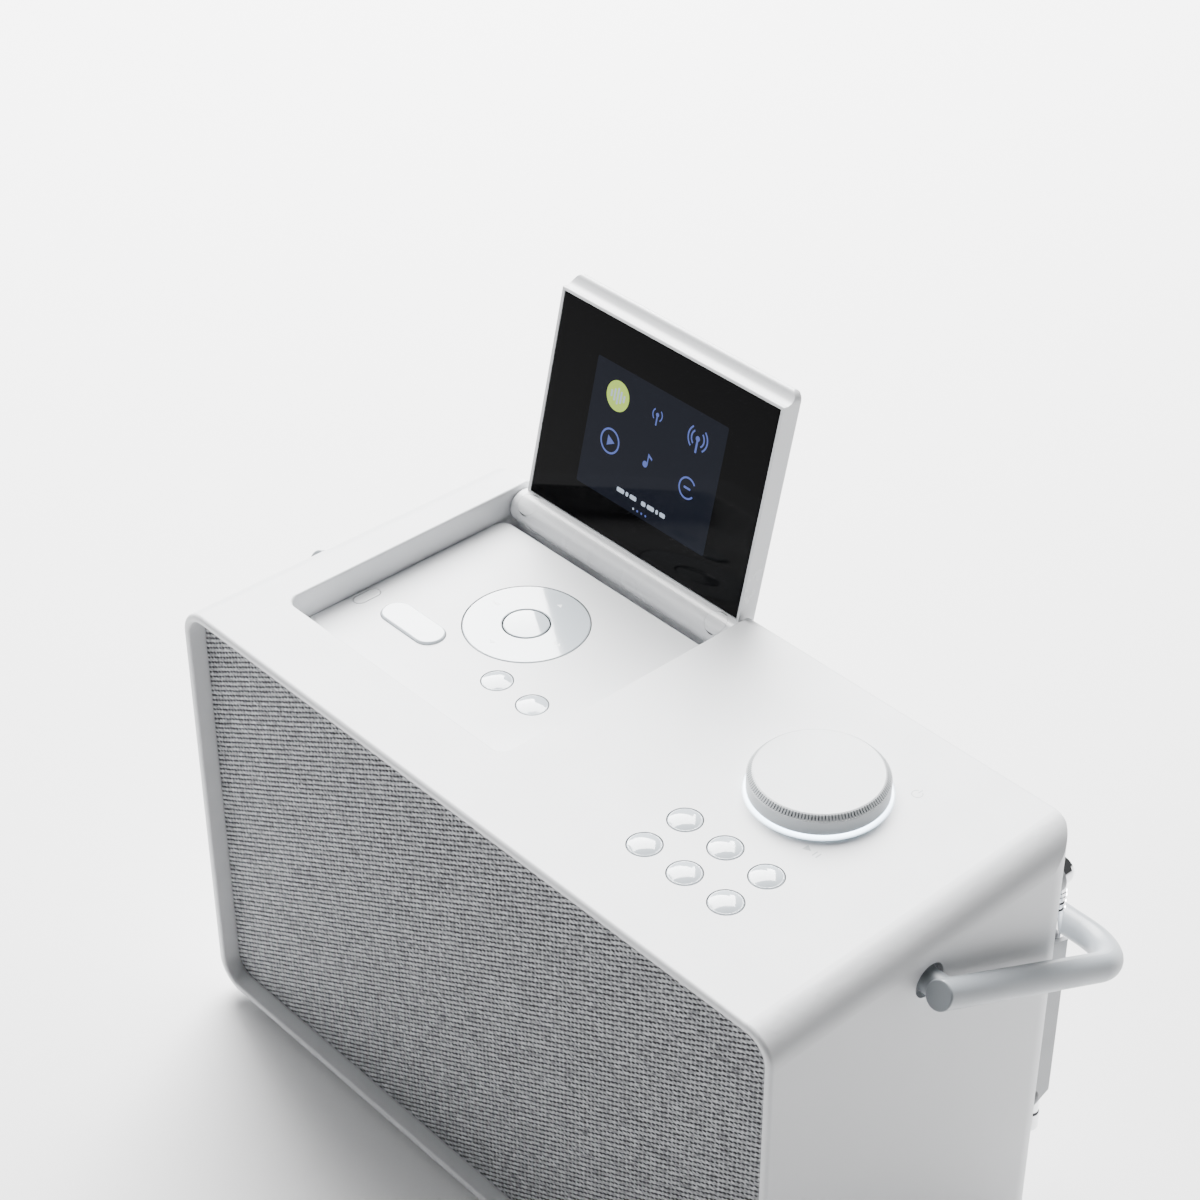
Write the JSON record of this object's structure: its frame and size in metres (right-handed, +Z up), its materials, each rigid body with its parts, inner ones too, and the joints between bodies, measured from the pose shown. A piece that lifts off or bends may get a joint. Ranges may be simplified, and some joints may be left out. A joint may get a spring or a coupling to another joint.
{
  "type": "portable tabletop radio",
  "caption": "Portable tabletop music system: white rounded cabinet with cloth grille, flip-up colour screen, control dial, buttons, swinging carry handle and telescopic aerial.",
  "frame": {"origin": "centre of the whole outline on the table surface, under the feet", "axes": "+Z up, +X to the right as seen from the cloth grille, +Y from the grille towards the back"},
  "size_m": [0.2974, 0.159, 0.2473],
  "materials": {
    "cabinet_white": "smooth satin moulded plastic",
    "display_white": "smooth semi-gloss plastic",
    "grey_plastic": "fine-textured plastic",
    "dark_plastic": "plain moulded plastic",
    "grille_cloth": "ribbed woven melange cloth",
    "speaker_metal": "black pressed steel",
    "speaker_paper": "paper cone and soft surround",
    "screw_steel": "plated screws and pins",
    "foot_rubber": "soft rubber",
    "board_green": "glass-fibre circuit board",
    "battery_wrap": "shrink-wrapped cells",
    "light_ring": "translucent lit ring",
    "ribbon": "flat cable",
    "black_glass": "polished black cover glass, printed black on its back",
    "lcd": "colour display panel",
    "handle_grey": "soft grey paint",
    "chrome": "bright chrome plate",
    "dial_silver": "satin pale silver",
    "key_gloss": "glossy pale grey",
    "latch_white": "glossy white"
  },
  "bodies": {
    "cabinet": {"cabinet_shell": "cabinet_white", "grille_frame": "dark_plastic", "grille_fabric": "grille_cloth", "speaker_baffle": "dark_plastic", "speaker_basket_left": "speaker_metal", "speaker_cone_left": "speaker_paper", "speaker_basket_right": "speaker_metal", "speaker_cone_right": "speaker_paper", "baffle_screws": "screw_steel", "rear_cover": "grey_plastic", "rear_cover_screws": "screw_steel", "feet": "foot_rubber", "main_board": "board_green", "battery_pack": "battery_wrap", "dc_inlet": "dark_plastic", "headphone_jack": "dark_plastic", "control_panel": "cabinet_white", "key_board": "board_green", "key_switches": "dark_plastic", "preset_board": "board_green", "preset_switches": "dark_plastic", "dial_light_ring": "light_ring", "encoder_body": "dark_plastic", "hinge_pins": "screw_steel", "display_ribbon": "ribbon", "handle_bushes": "grey_plastic", "aerial_guard": "grey_plastic", "aerial_boss": "grey_plastic"},
    "display": {"display_rear_shell": "display_white", "display_bezel": "display_white", "display_glass": "black_glass", "lcd_panel": "lcd", "hinge_barrel": "display_white", "barrel_plugs": "display_white", "barrel_screws": "screw_steel"},
    "handle": {"handle_tube": "handle_grey", "handle_pins": "handle_grey", "handle_clips": "screw_steel"},
    "aerial": {"aerial_knuckle": "chrome", "aerial_mast_1": "chrome"},
    "aerial_section_2": {"aerial_mast_2": "chrome"},
    "aerial_section_3": {"aerial_mast_3": "chrome"},
    "aerial_section_4": {"aerial_mast_4": "chrome"},
    "aerial_rod": {"aerial_tip": "chrome"},
    "dial_push": {"encoder_plunger": "dark_plastic"},
    "dial_knob": {"encoder_shaft": "screw_steel", "dial": "dial_silver"},
    "gimbal": {"nav_gimbal": "dark_plastic"},
    "nav_rocker": {"nav_ring": "key_gloss"},
    "nav_key": {"nav_button": "key_gloss"},
    "round_key_left": {"round_button_left": "key_gloss"},
    "round_key_right": {"round_button_right": "key_gloss"},
    "pill_key": {"pill_button": "key_gloss"},
    "latch_key": {"latch_button": "latch_white"},
    "preset_key_1": {"preset_button_1": "key_gloss"},
    "preset_key_2": {"preset_button_2": "key_gloss"},
    "preset_key_3": {"preset_button_3": "key_gloss"},
    "preset_key_4": {"preset_button_4": "key_gloss"},
    "preset_key_5": {"preset_button_5": "key_gloss"},
    "preset_key_6": {"preset_button_6": "key_gloss"}
  },
  "joints": [
    {"name": "display_fold", "type": "hinge", "parent": "cabinet", "child": "display", "pos_m": [-0.06, 0.0498, 0.1633], "axis": [1, 0, 0], "range_deg": [0, 103.1]},
    {"name": "handle_swing", "type": "hinge", "parent": "cabinet", "child": "handle", "pos_m": [0, -0.014, 0.1525], "axis": [1, 0, 0], "range_deg": [0, 52]},
    {"name": "aerial_swivel", "type": "hinge", "parent": "cabinet", "child": "aerial", "pos_m": [0.1255, 0.0578, 0.145], "axis": [0, 1, 0], "range_deg": [0, 180]},
    {"name": "aerial_pull_1", "type": "slide", "parent": "aerial", "child": "aerial_section_2", "axis": [0, 0, -1], "range_m": [0, 0.083]},
    {"name": "aerial_pull_2", "type": "slide", "parent": "aerial_section_2", "child": "aerial_section_3", "axis": [0, 0, -1], "range_m": [0, 0.083]},
    {"name": "aerial_pull_3", "type": "slide", "parent": "aerial_section_3", "child": "aerial_section_4", "axis": [0, 0, -1], "range_m": [0, 0.083]},
    {"name": "aerial_pull_4", "type": "slide", "parent": "aerial_section_4", "child": "aerial_rod", "axis": [0, 0, -1], "range_m": [0, 0.083]},
    {"name": "dial_press", "type": "slide", "parent": "cabinet", "child": "dial_push", "axis": [0, 0, -1], "range_m": [0, 0.0008], "stiffness_N_per_m": 400, "springref_m": -0.002},
    {"name": "dial_turn", "type": "hinge", "parent": "dial_push", "child": "dial_knob", "pos_m": [0.0708, 0.0068, 0.171], "axis": [0, 0, 1], "continuous": true},
    {"name": "nav_key_press", "type": "slide", "parent": "cabinet", "child": "nav_key", "axis": [0, 0, -1], "range_m": [0, 0.0007], "stiffness_N_per_m": 200, "springref_m": -0.001},
    {"name": "nav_tilt_front_back", "type": "hinge", "parent": "cabinet", "child": "gimbal", "pos_m": [-0.0634, 0.0067, 0.1561], "axis": [1, 0, 0], "range_deg": [-2, 2], "stiffness_Nm_per_rad": 0.05},
    {"name": "nav_tilt_left_right", "type": "hinge", "parent": "gimbal", "child": "nav_rocker", "pos_m": [-0.0634, 0.0067, 0.1561], "axis": [0, 1, 0], "range_deg": [-2, 2], "stiffness_Nm_per_rad": 0.05},
    {"name": "round_key_left_press", "type": "slide", "parent": "cabinet", "child": "round_key_left", "axis": [0, 0, -1], "range_m": [0, 0.0007], "stiffness_N_per_m": 200, "springref_m": -0.001},
    {"name": "round_key_right_press", "type": "slide", "parent": "cabinet", "child": "round_key_right", "axis": [0, 0, -1], "range_m": [0, 0.0007], "stiffness_N_per_m": 200, "springref_m": -0.001},
    {"name": "pill_key_press", "type": "slide", "parent": "cabinet", "child": "pill_key", "axis": [0, 0, -1], "range_m": [0, 0.0007], "stiffness_N_per_m": 200, "springref_m": -0.001},
    {"name": "latch_key_press", "type": "slide", "parent": "cabinet", "child": "latch_key", "axis": [0, 0, -1], "range_m": [0, 0.0007], "stiffness_N_per_m": 200, "springref_m": -0.001},
    {"name": "preset_1_press", "type": "slide", "parent": "cabinet", "child": "preset_key_1", "axis": [0, 0, -1], "range_m": [0, 0.0007], "stiffness_N_per_m": 200, "springref_m": -0.001},
    {"name": "preset_2_press", "type": "slide", "parent": "cabinet", "child": "preset_key_2", "axis": [0, 0, -1], "range_m": [0, 0.0007], "stiffness_N_per_m": 200, "springref_m": -0.001},
    {"name": "preset_3_press", "type": "slide", "parent": "cabinet", "child": "preset_key_3", "axis": [0, 0, -1], "range_m": [0, 0.0007], "stiffness_N_per_m": 200, "springref_m": -0.001},
    {"name": "preset_4_press", "type": "slide", "parent": "cabinet", "child": "preset_key_4", "axis": [0, 0, -1], "range_m": [0, 0.0007], "stiffness_N_per_m": 200, "springref_m": -0.001},
    {"name": "preset_5_press", "type": "slide", "parent": "cabinet", "child": "preset_key_5", "axis": [0, 0, -1], "range_m": [0, 0.0007], "stiffness_N_per_m": 200, "springref_m": -0.001},
    {"name": "preset_6_press", "type": "slide", "parent": "cabinet", "child": "preset_key_6", "axis": [0, 0, -1], "range_m": [0, 0.0007], "stiffness_N_per_m": 200, "springref_m": -0.001}
  ]
}
